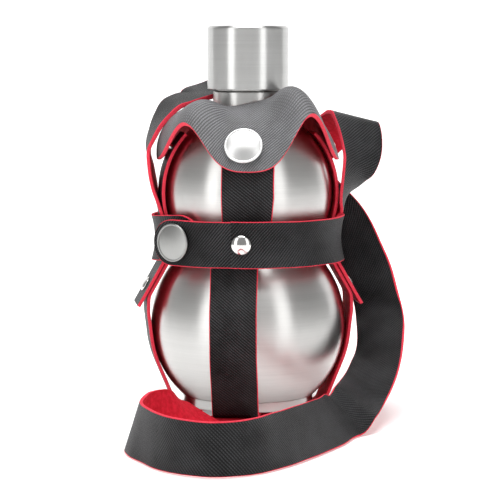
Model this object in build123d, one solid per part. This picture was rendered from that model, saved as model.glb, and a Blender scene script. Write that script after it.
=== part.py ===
from build123d import *
from math import acos, asin, atan2, cos, degrees, hypot, radians, sin, sqrt
import os

# A gourd flask of brushed steel in a leather harness, with its carrying strap laid round it.
# Millimetres. +Z is up, -Y is the front, and the origin is on the table under the flask's axis.

# Leather
leather = 1.8
seat_gap = 0.25
strap_width = 25.0
carry_width = 27.0

# Steel flask
lower_radius = 53.0
upper_radius = 46.0
bulb_spacing = 72.0
steel_wall = 0.7
foot_radius = 35.4
foot_seam = 36.0
foot_height = 5.6
foot_recess = 3.4
foot_rim = 4.0
neck_radius = 19.0
neck_wall = 1.5
neck_taper = 1.0
shoulder_radius = 18.0

# Mouth and its thread
mouth_height = 15.0
thread_root = 17.4
thread_depth = 1.2
thread_pitch = 4.0
thread_turns = 2.0
thread_foot = 1.9
thread_tip = 0.8
thread_bite = 0.1
thread_clearance = 0.35
thread_start = 4.2

# Cap
cap_radius = 22.0
cap_height = 34.2
cap_rise = 55.4
cap_wall = 0.8
cap_round = 2.0
liner_gap = 0.05
liner_top = 3.0
skirt_step = 0.6
seal_thickness = 2.0
seal_width = 3.4
seal_gap = 0.05

# Belt, drawn in at its middle, whose outer end is a flap over its inner end
belt_width = 24.4
belt_height = 95.8
belt_flare = 1.9
belt_radius = 49.1
belt_tuck = 14.0
belt_tuck_angle = -85.0
flap_ease = 2.05
inner_end_angle = -34.0
belt_hinge_angle = -14.0
flap_tip_angle = -72.0
belt_snap_angle = -48.0
flap_hinge_gap = 0.5

# Snaps
snap_radius = 10.2
snap_rim = 1.0
snap_dome = 3.6
snap_post = 1.6
socket_radius = 4.0
socket_height = 1.2
socket_drop = 0.6
stud_radius = 2.2
stud_plate_radius = 4.2
plate_thickness = 0.5
snap_play = 0.2

# Rivets
belt_rivet_radius = 5.2
flap_rivet_radius = 4.2
collar_rivet_radius = 4.2
rivet_rise = 1.4
rivet_shank = 1.4
rivet_back_radius = 3.4
hole_play = 0.15

# Harness
front_turn = -5.0
lower_shift = -3.1
upper_shift = 2.8
side_turn = 7.0
strap_top_angle = 42.0
waist_height = 95.0
waist_radius = 41.4
side_belly_radius = 54.6
side_belly_height = 56.0
side_fall_radius = 54.4
side_fall_height = 64.5
side_tuck_radius = 43.4
side_tuck_height = 84.0
small_bend = 3.0
wide_bend = 9.0
bridge_reach = 19.0
lap = 5.0
free_play = 0.15

# Collar
hole_radius = 20.6
hole_height = 165.0
hole_rise = 8.5
collar_edge_radius = 47.0
tab_tip_height = 134.0
side_tab_raise = 4.0
corner_raise = 27.0
corner_tilt = 3.5
corner_arch = 5.0
tab_hinge_height = 157.5
tab_hinge_gap = 0.5
tab_half_span = 27.0
collar_ring_shares = [0.0, 0.2, 0.4, 0.6, 0.8, 1.0]
collar_steps = 40
front_snap_angle = 30.5
upper_snap_turn = -3.0
back_turn = 178.0
belt_rivet_angle = -4.0
collar_rivet_angle = 30.0
back_calm_share = 0.55
collar_play = 0.35

# Carrying strap: where its ends lie below the belt, and the reach that its route's shares follow
end_tip_height = 58.0
end_tip_flare = 3.6
strap_reach = 100.0
overrun = 60.0

# Heights and radii that follow from the sizes above
layer = leather + seat_gap
base_z = 2 * layer
foot_top = base_z + foot_height
lower_z = foot_top + sqrt(lower_radius**2 - foot_seam**2)
upper_z = lower_z + bulb_spacing
seam_z = upper_z + sqrt(upper_radius**2 - shoulder_radius**2)
cap_z = upper_z + cap_rise
mouth_top = cap_z + mouth_height
total_height = cap_z + cap_height
waist_z = lower_z + (bulb_spacing**2 + lower_radius**2 - upper_radius**2) / (2 * bulb_spacing)
bore = thread_root - neck_wall
collar_seat = hypot(upper_radius + layer, strap_width / 2 - lower_shift) + seat_gap
snap_gap = collar_seat - upper_radius - layer
flap_lift = flap_ease * cos(radians(belt_snap_angle - belt_hinge_angle + 90))
belt_snap_gap = flap_lift - leather + belt_tuck * (1 - cos(radians(belt_snap_angle - belt_tuck_angle)))
front_stack = belt_radius - waist_radius + leather


# Helpers


def ring(outline, first=0, turn=360):
    """Solid of revolution about the axis, from outline points of radius and height."""
    with BuildPart() as made:
        with BuildSketch(Plane.XZ):
            with BuildLine():
                Polyline(*outline, close=True)
            make_face()
        revolve(axis=Axis.Z, revolution_arc=turn)
    return Rot(0, 0, first) * made.part


def facets(rings, around):
    """Solid of flat triangles between neighbouring rings of points; around joins last to first."""
    count = len(rings[0])
    faces = []
    pairs = list(zip(rings, rings[1:]))
    if around:
        pairs.append((rings[-1], rings[0]))
    for near, far in pairs:
        for k in range(count):
            j = (k + 1) % count
            faces.append(Face(Wire.make_polygon([near[k], near[j], far[j]])))
            faces.append(Face(Wire.make_polygon([near[k], far[j], far[k]])))
    if not around:
        faces.append(Face(Wire.make_polygon(rings[0])))
        faces.append(Face(Wire.make_polygon(rings[-1])))
    return Solid(Shell(faces))


def facing(point, outward):
    """Place whose Z axis points outward from the leather at the point."""
    return Plane(origin=point, z_dir=outward).location


def on_bulb(turn, angle, distance):
    """Point and outward direction at a turn from the front and an angle above the upper bulb."""
    flat = cos(radians(angle))
    outward = Vector(flat * sin(radians(turn)), -flat * cos(radians(turn)), sin(radians(angle)))
    return Vector(0, 0, upper_z) + outward * distance, outward


def round_belt(turn, distance, height):
    """Point and outward direction at a turn from the front, level with a height."""
    outward = Vector(sin(radians(turn)), -cos(radians(turn)), 0)
    return outward * distance + Vector(0, 0, height), outward


def disc(radius, low, high):
    return Pos(0, 0, (low + high) / 2) * Cylinder(radius, high - low)


# Steel flask


def bulb(centre_z, radius, low, high):
    shell = Sphere(radius) - Sphere(radius - steel_wall)
    return Pos(0, 0, centre_z) * shell & disc(2 * radius, low, high)


def foot_pan():
    """Short straight foot, folded in and up to a raised bottom."""
    inside = foot_radius - foot_rim
    floor = base_z + foot_recess
    return ring(
        [
            (0, floor),
            (inside, floor),
            (inside, base_z),
            (foot_radius, base_z),
            (foot_radius, foot_top),
            (foot_radius - steel_wall, foot_top),
            (foot_radius - steel_wall, base_z + steel_wall),
            (inside + steel_wall, base_z + steel_wall),
            (inside + steel_wall, floor + steel_wall),
            (0, floor + steel_wall),
        ]
    )


def thread(root, foot, tip, sign):
    """Helical ridge that stands out of a wall at the root, outward or inward by the sign."""
    near = root - sign * thread_bite
    far = root + sign * thread_depth
    rise = thread_turns * thread_pitch
    lines = ((near, -foot / 2), (far, -tip / 2), (far, tip / 2), (near, foot / 2))
    edges = [Edge.make_helix(thread_pitch, rise, r, center=(0, 0, z)) for r, z in lines]
    faces = [Face.make_surface_from_curves(edges[k], edges[(k + 1) % 4]) for k in range(4)]
    for end in (0, 1):
        faces.append(Face(Wire.make_polygon([edge @ end for edge in edges], close=True)))
    return Solid(Shell(faces))


def neck_finish():
    """Turned neck: a plain band under the cap, then the threaded mouth."""
    body = ring(
        [
            (bore, seam_z),
            (neck_radius, seam_z),
            (neck_radius, cap_z - neck_taper),
            (thread_root, cap_z),
            (thread_root, mouth_top),
            (bore, mouth_top),
        ]
    )
    ridge = thread(thread_root, thread_foot, thread_tip, 1)
    return body + Pos(0, 0, cap_z + thread_start) * ridge


# Cap


def cap_shell():
    cup = disc(cap_radius, cap_z, total_height)
    cup = fillet(cup.edges().group_by(Axis.Z)[-1], cap_round)
    hollow = disc(cap_radius - cap_wall, cap_z - overrun, total_height - cap_wall)
    return cup - fillet(hollow.edges().group_by(Axis.Z)[-1], cap_round - cap_wall)


def cap_liner():
    """Moulded liner that is pressed into the cup and carries the inside thread."""
    outer = cap_radius - cap_wall - liner_gap
    thread_wall = thread_root + thread_depth + thread_clearance
    low = cap_z + skirt_step
    ceiling = mouth_top + seal_thickness + 2 * seal_gap
    top = ceiling + liner_top
    body = ring(
        [(0, ceiling), (thread_wall, ceiling), (thread_wall, low), (outer, low), (outer, top), (0, top)]
    )
    foot = thread_pitch - thread_foot - thread_clearance
    ridge = thread(thread_wall, foot, thread_tip, -1)
    return body + Pos(0, 0, cap_z + thread_start + thread_pitch / 2) * ridge


def cap_seal():
    outer = thread_root + thread_depth
    low = mouth_top + seal_gap
    high = low + seal_thickness
    return disc(outer, low, high) - disc(outer - seal_width, low, high)


# Upright harness straps. A path runs along the strap's inner face, in radius and height.


def touch(point, centre_z, radius, side):
    """Angle on a bulb where a straight run from the point touches it."""
    bearing = degrees(atan2(point[1] - centre_z, point[0]))
    far = hypot(point[0], point[1] - centre_z)
    return bearing + side * degrees(acos(min(1.0, radius / far)))


def meet(centre_z, radius, first, last):
    """Where the tangents of a bulb at two angles meet."""
    reach = radius / cos(radians((last - first) / 2))
    middle = radians((first + last) / 2)
    return (reach * cos(middle), centre_z + reach * sin(middle))


def top_run(waist):
    """From the waist point over the upper bulb to the strap's top end."""
    radius = upper_radius + seat_gap
    turn = meet(upper_z, radius, touch(waist, upper_z, radius, 1), strap_top_angle)
    angle = radians(strap_top_angle)
    end = (radius * cos(angle), upper_z + radius * sin(angle))
    past = (end[0] - seat_gap * sin(angle), end[1] + seat_gap * cos(angle))
    return [turn, past], [radius]


def under_run():
    """From the middle of the flask's bottom to the corner where the strap turns up."""
    return (foot_seam + small_bend, base_z - seat_gap)


def lower_turn(corner, upper):
    radius = lower_radius + seat_gap
    low = touch(corner, lower_z, radius, 1)
    high = touch(upper, lower_z, radius, -1)
    return meet(lower_z, radius, low, high), radius


def strip(path, radii, turn, shift):
    with BuildPart() as made:
        with BuildSketch(Plane.XZ):
            with BuildLine():
                FilletPolyline(*path, radius=radii)
                offset(amount=leather, side=Side.RIGHT, closed=True)
            make_face()
        extrude(amount=strap_width / 2, both=True)
    return Rot(0, 0, turn) * Pos(0, shift, 0) * made.part


def mirrored(points):
    return [(-x, z) for x, z in reversed(points)]


def side_strap():
    """One strap from the collar's left tab under the foot to its right tab, over the other one."""
    corner = under_run()
    waist = (waist_radius, waist_height)
    belly = (side_belly_radius, side_belly_height)
    turn, turn_radius = lower_turn(corner, belly)
    top, top_radii = top_run(waist)
    climb = [(bridge_reach, corner[1] + layer), (bridge_reach + layer, corner[1])]
    fall = [(side_fall_radius, side_fall_height), (side_tuck_radius, side_tuck_height)]
    half = [*climb, corner, turn, belly, *fall, waist, *top]
    radii = [leather / 2, leather, small_bend, turn_radius, wide_bend, wide_bend, wide_bend]
    radii += [wide_bend, *top_radii]
    return strip(mirrored(half) + half, [*reversed(radii), *radii], side_turn, 0)


def long_strap():
    """From the belt down the front, under the foot and up the back to the collar."""
    corner = under_run()
    waist = (waist_radius, waist_height)
    turn, turn_radius = lower_turn(corner, waist)
    top, top_radii = top_run(waist)
    front = [corner, turn, waist, (waist_radius, waist_height + lap)]
    back = [corner, turn, waist, *top]
    front_radii = [small_bend, turn_radius, wide_bend]
    back_radii = front_radii + top_radii
    path = mirrored(back) + front
    return strip(path, [*reversed(back_radii), *front_radii], front_turn - 90, lower_shift)


def beside(points, distance):
    """The path moved outward by a distance, corner by corner, without its two end points."""
    moved = []
    for before, here, after in zip(points, points[1:], points[2:]):
        first = Vector(here[0] - before[0], here[1] - before[1]).normalized()
        last = Vector(after[0] - here[0], after[1] - here[1]).normalized()
        middle = (first + last).normalized()
        reach = distance / middle.dot(first)
        moved.append((here[0] + middle.Y * reach, here[1] - middle.X * reach))
    return moved


def front_strap():
    """From the belt, over the end of the long strap, up to the collar's front tab."""
    waist = (waist_radius, waist_height)
    turn, turn_radius = lower_turn(under_run(), waist)
    down = Vector(turn[0] - waist[0], turn[1] - waist[1]).normalized() * lap
    start = (waist[0] + down.X, waist[1] + down.Y)
    above = (waist_radius, waist_height + lap)
    past = (start[0] + down.X, start[1] + down.Y)
    first, bend = beside([past, start, waist, above], layer + free_play)
    top, top_radii = top_run(bend)
    return strip([first, bend, *top], [wide_bend, *top_radii], front_turn - 90, upper_shift)


# Belt


def belt_band(radius, flare, first, turn):
    """Band about the axis, as wide as the belt, drawn in at its middle by the flare."""
    half = belt_width / 2
    inside = [(radius + flare, -half), (radius, 0), (radius + flare, half)]
    outside = [(r + leather, z) for r, z in reversed(inside)]
    outline = [(r, belt_height + z) for r, z in inside + outside]
    return ring(outline, first, turn)


def from_front(turn):
    """Angle about +Z, counted from +X, of a turn from the front."""
    return turn - 90


def belt():
    """From the flap's bend round the right, back and left sides, and on inward to its inner end."""
    round_turn = 360 + belt_tuck_angle - belt_hinge_angle
    body = belt_band(belt_radius, belt_flare, from_front(belt_hinge_angle), round_turn)
    tuck = radians(from_front(belt_tuck_angle))
    inner_turn = inner_end_angle - belt_tuck_angle
    end = belt_band(belt_radius - belt_tuck, belt_flare, from_front(belt_tuck_angle), inner_turn)
    return body + Pos(belt_tuck * cos(tuck), belt_tuck * sin(tuck), 0) * end


def belt_flap():
    """Outer end of the belt, with a rounded tip that snaps down over the inner end."""
    first = belt_hinge_angle - degrees(flap_hinge_gap / belt_radius)
    band = belt_band(belt_radius, belt_flare, from_front(flap_tip_angle), first - flap_tip_angle)
    _, eased = round_belt(belt_hinge_angle - 90, belt_radius, belt_height)
    band = Pos(*(eased * flap_ease)) * band
    half = belt_width / 2
    tip, outward = round_belt(flap_tip_angle + degrees(half / belt_radius), belt_radius, belt_height)
    plane = Plane(origin=tip, x_dir=(outward.Y, -outward.X, 0), z_dir=outward)
    keep = Pos(-overrun / 2, 0, 0) * Box(overrun, belt_width + leather, overrun)
    return band & plane.location * (keep + Cylinder(half, overrun))


# Collar, a leather star laid over the upper bulb


def collar_point(turn, share, lift):
    """Point of the collar's inner face, lifted off it, from the hole at 0 to the edge at 1."""
    across = radians(turn)
    calm = 1 - (1 - back_calm_share) * (1 - cos(across)) / 2
    corner = sin(2 * across) ** 2
    lean = ((1 + sin(across)) / 2) ** 2
    hole_z = hole_height + hole_rise * lean
    tip_z = tab_tip_height + side_tab_raise * sin(across) ** 2
    edge_z = tip_z + corner_raise * corner * calm + corner_tilt * sin(across) * corner
    seat = collar_seat + lift
    first = acos(hole_radius / seat)
    last = asin(min(1.0, (tip_z - upper_z) / seat))
    angle = first + (last - first) * share
    raise_z = hole_z + lift - upper_z - seat * sin(first)
    tab = (seat * cos(angle), upper_z + seat * sin(angle) + raise_z * (1 - share) ** 2)
    arch = corner_arch * (1 + lean) * 4 * share * (1 - share)
    wide = hole_radius + (collar_edge_radius + lift - hole_radius) * share
    flared = (wide, hole_z + lift + (edge_z - hole_z) * share + arch)
    mix = corner * calm
    radius = tab[0] + (flared[0] - tab[0]) * mix
    height = tab[1] + (flared[1] - tab[1]) * mix
    return Vector(radius * sin(across), -radius * cos(across), height)


def collar_star():
    """Rings of the inner face and then of the outer face, joined by narrow facets."""
    turns = [360 * k / collar_steps for k in range(collar_steps)]
    rings = [[collar_point(t, s, 0) for t in turns] for s in collar_ring_shares]
    rings += [[collar_point(t, s, leather) for t in turns] for s in reversed(collar_ring_shares)]
    return facets(rings, True)


def tab_region(gap):
    """Space in front of the neck and below the tab's bend."""
    high = tab_hinge_height - gap
    low = high - overrun
    place = Pos(0, -overrun / 2 - hole_radius, (high + low) / 2)
    return place * Box(2 * (tab_half_span - gap), overrun, high - low)


# Snaps and rivets. Local Z points outward and starts at the outer face of the outer leather.


def domed(radius, low, rise):
    """Lens-shaped top of a disc that starts at a low height."""
    ball = (radius**2 + rise**2) / (2 * rise)
    return Pos(0, 0, low + rise - ball) * Sphere(ball) & disc(radius, low, low + 2 * rise)


def snap_cap(stand):
    """Domed cap with a rolled rim, standing off the leather, and its post through the leather."""
    rim = disc(snap_radius, stand, stand + snap_rim)
    rim = fillet(rim.edges().group_by(Axis.Z)[-1], snap_rim / 2)
    dome = domed(snap_radius - snap_rim, stand + snap_rim / 2, snap_dome)
    return rim + dome + disc(snap_post, -leather - socket_height, stand + snap_rim / 2)


def snap_socket():
    """Ring on the post at the inside of the flap, with a mouth for the stud."""
    low = -leather - socket_height
    ring_body = disc(socket_radius, low, -leather - socket_drop)
    return ring_body - disc(snap_post + hole_play, low - leather, leather)


def snap_stud(gap, stand):
    """Stud on the leather below, with its post and back plate, set flush into that leather."""
    face = -leather - gap
    back = face - leather
    top = face + gap - socket_height - snap_play
    head = disc(stud_radius, face + stand + hole_play, top)
    return head + disc(snap_post, back, top) + disc(stud_plate_radius, back, back + plate_thickness)


def rivet(radius, stand, depth):
    """Domed head with a shank that reaches the inner leather's back."""
    head = disc(radius, stand, stand + plate_thickness) + domed(radius, stand + plate_thickness, rivet_rise)
    return head + disc(rivet_shank, -depth, stand + plate_thickness)


def burr(depth):
    """Washer at the shank's end, set flush into the inner leather."""
    plate = disc(rivet_back_radius, -depth, -depth + plate_thickness)
    return plate - disc(rivet_shank + hole_play / 3, -depth - leather, leather)


def bore_for(shank, plate, depth):
    """Hole for a shank, with a shallow seat for its back plate."""
    hole = disc(shank + hole_play, -depth - leather, leather)
    return hole + disc(plate + hole_play, -depth - leather, -depth + plate_thickness + hole_play)


# Carrying strap. Each row of a route has the shares of the reach for its middle, x, y and z, and
# the direction across the strap. A height of None lays the row's lower edge on the table.

over_left_shares = [
    (-0.522, -0.040, 1.210, -0.12, 0.99, 0.00),
    (-0.545, -0.010, 1.340, -0.11, 0.99, 0.03),
    (-0.545, 0.008, 1.450, -0.13, 0.98, 0.12),
    (-0.518, 0.018, 1.550, -0.24, 0.96, 0.16),
    (-0.475, 0.040, 1.622, -0.32, 0.93, 0.18),
    (-0.430, 0.070, 1.672, -0.34, 0.92, 0.22),
    (-0.372, 0.108, 1.715, -0.29, 0.91, 0.29),
    (-0.300, 0.158, 1.740, -0.25, 0.91, 0.26),
    (-0.232, 0.258, 1.755, -0.20, 0.90, 0.30),
    (-0.128, 0.345, 1.765, -0.16, 0.86, 0.34),
    (-0.020, 0.415, 1.760, -0.10, 0.65, 0.70),
]
behind_shares = [
    (0.100, 0.510, 1.680, 0.00, 0.32, 0.94),
    (0.190, 0.520, 1.520, 0.35, 0.10, 0.93),
    (0.260, 0.550, 1.370, 0.70, 0.00, 0.71),
    (0.330, 0.535, 1.230, 0.87, -0.05, 0.48),
    (0.430, 0.480, 1.120, 0.90, -0.20, 0.38),
    (0.530, 0.400, 1.016, 0.93, -0.25, 0.27),
    (0.580, 0.345, 0.938, 0.93, -0.30, 0.20),
    (0.634, 0.280, 0.822, 0.92, -0.37, 0.12),
    (0.684, 0.215, 0.702, 0.90, -0.42, 0.08),
    (0.723, 0.143, 0.540, 0.88, -0.46, 0.02),
    (0.730, -0.010, 0.430, 0.87, -0.49, -0.02),
    (0.716, -0.100, 0.346, 0.87, -0.48, 0.02),
    (0.682, -0.230, 0.270, 0.85, -0.50, -0.18),
    (0.640, -0.360, 0.210, 0.84, -0.44, -0.25),
    (0.593, -0.510, 0.170, 0.84, -0.37, -0.41),
    (0.541, -0.680, 0.154, 0.70, -0.28, -0.66),
]
front_run_shares = [
    (0.458, -0.790, None, 0.53, -0.12, -0.84),
    (0.388, -1.030, None, 0.42, -0.12, -0.90),
    (0.320, -1.215, None, 0.34, -0.12, -0.93),
    (0.250, -1.390, None, 0.30, -0.12, -0.95),
    (0.150, -1.590, None, 0.22, -0.10, -0.96),
    (0.035, -1.755, None, 0.06, -0.02, -1.00),
    (-0.070, -1.830, None, -0.01, 0.07, -1.00),
    (-0.165, -1.850, None, 0.01, 0.09, -0.99),
    (-0.254, -1.815, None, 0.02, 0.08, -1.00),
    (-0.340, -1.755, None, 0.02, 0.03, -1.00),
    (-0.425, -1.640, None, -0.04, 0.00, -1.00),
    (-0.495, -1.480, None, -0.09, -0.02, -1.00),
    (-0.550, -1.312, None, -0.24, -0.03, -0.97),
    (-0.562, -1.160, None, -0.30, 0.03, -0.95),
]
under_shares = [
    (-0.525, -1.045, None, -0.18, 0.08, -0.98),
    (-0.445, -0.955, None, 0.12, -0.02, -0.99),
    (-0.348, -0.845, None, 0.48, -0.16, -0.86),
    (-0.265, -0.690, None, 0.77, -0.24, -0.58),
    (-0.190, -0.550, None, 0.87, -0.34, -0.37),
    (-0.134, -0.470, None, 0.93, -0.34, -0.03),
    (-0.080, -0.365, None, 0.95, -0.30, 0.00),
    (-0.025, -0.230, None, 0.98, -0.15, 0.00),
    (0.000, -0.110, None, 1.00, 0.00, 0.00),
    (0.010, 0.040, None, 1.00, 0.00, 0.00),
    (0.020, 0.200, None, 1.00, 0.00, 0.00),
    (0.030, 0.360, None, 1.00, 0.00, 0.00),
    (0.040, 0.490, None, 1.00, 0.00, 0.00),
]
back_run_shares = [
    (0.050, 0.600, 0.030, 1.00, 0.00, 0.00),
    (0.055, 0.680, 0.100, 1.00, 0.00, 0.00),
    (0.060, 0.715, 0.210, 1.00, 0.00, 0.00),
    (0.080, 0.725, 0.380, 1.00, 0.00, 0.00),
    (0.105, 0.720, 0.580, 1.00, 0.00, -0.03),
    (0.135, 0.705, 0.790, 1.00, 0.00, -0.08),
    (0.180, 0.685, 1.000, 0.98, 0.05, -0.15),
    (0.240, 0.670, 1.200, 0.96, 0.10, -0.20),
    (0.335, 0.635, 1.370, 0.93, 0.15, -0.25),
    (0.470, 0.550, 1.500, 0.92, 0.18, -0.25),
]
curl_shares = [
    (0.540, 0.425, 1.562, 0.88, 0.15, -0.28),
    (0.572, 0.300, 1.592, 0.92, 0.10, -0.24),
    (0.595, 0.195, 1.583, 0.93, 0.15, -0.23),
    (0.613, 0.125, 1.522, 0.90, 0.35, -0.20),
    (0.619, 0.078, 1.445, 0.82, 0.52, -0.14),
    (0.610, 0.045, 1.375, 0.72, 0.66, -0.12),
    (0.588, 0.022, 1.310, 0.58, 0.79, -0.12),
    (0.562, 0.020, 1.245, 0.40, 0.91, -0.10),
    (0.532, 0.032, 1.175, 0.15, 0.98, -0.05),
    (0.512, 0.050, 1.110, -0.04, 0.99, 0.00),
]


def carry_end(side):
    """Rows of one end of the strap, from its riveted tip up under the belt."""
    low = (side_belly_radius + end_tip_flare, end_tip_height)
    fall = (side_fall_radius, side_fall_height)
    tuck = (side_tuck_radius, side_tuck_height)
    waist = (waist_radius, waist_height)
    halfway = ((fall[0] + tuck[0]) / 2, (fall[1] + tuck[1]) / 2)
    top, _ = top_run(waist)
    share = (belt_width / 2) / (top[0][1] - waist_height)
    above = (waist[0] + (top[0][0] - waist[0]) * share, waist[1] + (top[0][1] - waist[1]) * share)
    path = [(low[0] + end_tip_flare, 2 * low[1] - fall[1]), low, fall, halfway, tuck, waist, above, top[0]]
    turn = radians(side_turn)
    rows = []
    for radius, height in beside(path, 1.5 * leather + seat_gap + free_play):
        x, y = side * radius * cos(turn), side * radius * sin(turn)
        rows.append((x, y, height, -sin(turn), cos(turn), 0))
    return rows


def carry_rows():
    shares = over_left_shares + behind_shares + front_run_shares + under_shares
    shares = shares + back_run_shares + curl_shares
    rows = carry_end(-1)
    for x, y, z, *across in shares:
        height = None if z is None else z * strap_reach
        rows.append((x * strap_reach, y * strap_reach, height, *across))
    return rows + list(reversed(carry_end(1)))


def carry_stations():
    rows = carry_rows()
    middles = [Vector(x, y, z or leather / 2) for x, y, z, *across in rows]
    stations = []
    for k, row in enumerate(rows):
        heading = middles[min(k + 1, len(rows) - 1)] - middles[max(k - 1, 0)]
        heading = heading.normalized()
        across = Vector(*row[3:])
        across = (across - heading * across.dot(heading)).normalized()
        thick = heading.cross(across).normalized()
        half, depth = across * (carry_width / 2), thick * (leather / 2)
        middle = middles[k]
        if row[2] is None:
            middle = Vector(middle.X, middle.Y, abs(half.Z) + abs(depth.Z))
        corners = [(-1, -1), (1, -1), (1, 1), (-1, 1)]
        stations.append([middle + half * wide + depth * deep for wide, deep in corners])
    return stations


def carry_strap():
    return facets(carry_stations(), False)


# Places of the fasteners, and the leathers that each one goes through


def along_end(side):
    """Where the rivet stands on the outer face of a strap end below the belt."""
    fall = Vector(side_fall_radius, side_fall_height)
    tuck = Vector(side_tuck_radius, side_tuck_height)
    run = (tuck - fall).normalized()
    normal = Vector(run.Y, -run.X)
    spot = fall + run * flap_rivet_radius + normal * (2 * layer + free_play)
    turn = radians(side_turn)
    flat = Vector(side * cos(turn), side * sin(turn), 0)
    up = Vector(0, 0, 1)
    return flat * spot.X + up * spot.Y, flat * normal.X + up * normal.Y


def fasteners():
    """Each fastener's place, shank, back plate, depth, and the pieces that it joins."""
    tab_snap = facing(*on_bulb(upper_snap_turn, front_snap_angle, collar_seat + leather))
    belt_snap = facing(*round_belt(belt_snap_angle, belt_radius + flap_lift + leather, belt_height))
    belt_rivet = facing(*round_belt(belt_rivet_angle, belt_radius + leather, belt_height))
    stack = 2 * leather + snap_gap
    places = [
        (tab_snap, snap_post, stud_plate_radius, stack, ["collar_tab", "front_strap"]),
        (belt_snap, snap_post, stud_plate_radius, 2 * leather + belt_snap_gap, ["belt_flap", "belt"]),
        (belt_rivet, rivet_shank, rivet_back_radius, front_stack, ["belt", "front_strap", "long_strap"]),
    ]
    for side in (-1, 1):
        place = facing(*along_end(side))
        depth = 2 * leather + seat_gap + free_play
        places.append((place, rivet_shank, rivet_back_radius, depth, ["carry_strap", "side_strap"]))
    tabs = [(side_turn + 90, "side_strap"), (side_turn - 90, "side_strap"), (back_turn, "long_strap")]
    for turn, strap in tabs:
        place = facing(*on_bulb(turn, collar_rivet_angle, collar_seat + leather))
        places.append((place, rivet_shank, rivet_back_radius, stack, ["collar", strap]))
    return places


def main():
    os.makedirs("parts", exist_ok=True)
    star = collar_star()
    pieces = {
        "foot_pan": foot_pan(),
        "lower_bulb": bulb(lower_z, lower_radius, foot_top, waist_z),
        "upper_bulb": bulb(upper_z, upper_radius, waist_z, seam_z),
        "neck_finish": neck_finish(),
        "cap_shell": cap_shell(),
        "cap_liner": cap_liner(),
        "cap_seal": cap_seal(),
        "side_strap": side_strap(),
        "long_strap": long_strap(),
        "front_strap": front_strap(),
        "belt": belt(),
        "belt_flap": belt_flap(),
        "collar": star - tab_region(0),
        "collar_tab": star & tab_region(tab_hinge_gap),
        "carry_strap": carry_strap(),
    }
    for place, shank, plate, depth, names in fasteners():
        for name in names:
            pieces[name] -= place * bore_for(shank, plate, depth)
    tab_snap, belt_snap, belt_rivet, *rivets = [(item[0], item[3]) for item in fasteners()]
    slope = belt_flare / (belt_width / 2)
    belt_stand = slope * snap_radius
    rivet_stand = slope * belt_rivet_radius
    pieces["tab_snap_cap"] = tab_snap[0] * snap_cap(0)
    pieces["tab_snap_socket"] = tab_snap[0] * snap_socket()
    pieces["tab_snap_stud"] = tab_snap[0] * snap_stud(snap_gap, 0)
    pieces["belt_snap_cap"] = belt_snap[0] * snap_cap(belt_stand)
    pieces["belt_snap_socket"] = belt_snap[0] * snap_socket()
    pieces["belt_snap_stud"] = belt_snap[0] * snap_stud(belt_snap_gap, slope * stud_radius)
    pieces["belt_rivet"] = belt_rivet[0] * rivet(belt_rivet_radius, rivet_stand, belt_rivet[1])
    pieces["belt_rivet_burr"] = belt_rivet[0] * burr(belt_rivet[1])
    ends, tabs = rivets[:2], rivets[2:]
    pieces["end_rivets"] = Compound([p * rivet(flap_rivet_radius, 0, d) for p, d in ends])
    pieces["end_rivet_burrs"] = Compound([p * burr(d) for p, d in ends])
    pieces["collar_rivets"] = Compound([p * rivet(collar_rivet_radius, collar_play, d) for p, d in tabs])
    pieces["collar_rivet_burrs"] = Compound([p * burr(d) for p, d in tabs])
    for name, shape in pieces.items():
        export_step(shape, f"parts/{name}.step")


main()
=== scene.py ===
"""Gourd flask of spun steel in a black leather harness with a red lining, and its carrying strap.

Metres. +Z is up, -Y is the front, and the flask's axis is X = Y = 0. Lengths named here are in
millimetres and become metres where a mesh is made.
"""
from math import acos, asin, atan2, cos, degrees, hypot, pi, radians, sin, sqrt, tan

import bpy
import numpy as np
from mathutils import Matrix, Vector


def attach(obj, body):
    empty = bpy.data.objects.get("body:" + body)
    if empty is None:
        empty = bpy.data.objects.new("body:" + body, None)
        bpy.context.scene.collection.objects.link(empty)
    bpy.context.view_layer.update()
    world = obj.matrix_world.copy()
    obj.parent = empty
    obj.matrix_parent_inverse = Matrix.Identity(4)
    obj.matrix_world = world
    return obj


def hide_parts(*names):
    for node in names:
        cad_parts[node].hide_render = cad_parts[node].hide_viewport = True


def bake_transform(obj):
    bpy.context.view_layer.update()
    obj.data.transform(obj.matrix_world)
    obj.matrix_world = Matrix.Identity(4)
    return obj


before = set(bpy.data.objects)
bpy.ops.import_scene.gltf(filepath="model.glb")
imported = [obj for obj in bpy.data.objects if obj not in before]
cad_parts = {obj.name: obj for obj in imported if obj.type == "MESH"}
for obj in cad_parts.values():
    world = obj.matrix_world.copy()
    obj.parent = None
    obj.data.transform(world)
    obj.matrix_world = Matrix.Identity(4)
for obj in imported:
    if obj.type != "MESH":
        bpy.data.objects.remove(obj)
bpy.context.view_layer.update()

MM = 0.001
FLASK = "harnessed_flask"

# Leather. Depths are counted from the black face.
leather = 1.8
seat_gap = 0.25
free_play = 0.15
layer = leather + seat_gap
edge_round = 0.32
rim_width = 0.25
rim_reach = 0.33
rim_depth = 0.36
lining_depths = (0.20, 0.30)
suede_depths = (1.45, 1.75)
hide_spacing = 37.0
path_drift, width_drift, cut_drift = 0.22, 0.1, 0.25
crease_lean, crease_pitch = radians(40.0), 1.25
suede_reds = ((0.50, 0.005, 0.016, 1.0), (0.66, 0.013, 0.034, 1.0))
# Cut-edge reds: the edges' own red with a painted highlight, brighter and pinker than the lining's red.
lit_edge_reds = ((0.72, 0.022, 0.050, 1.0), (0.95, 0.085, 0.130, 1.0))

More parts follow.
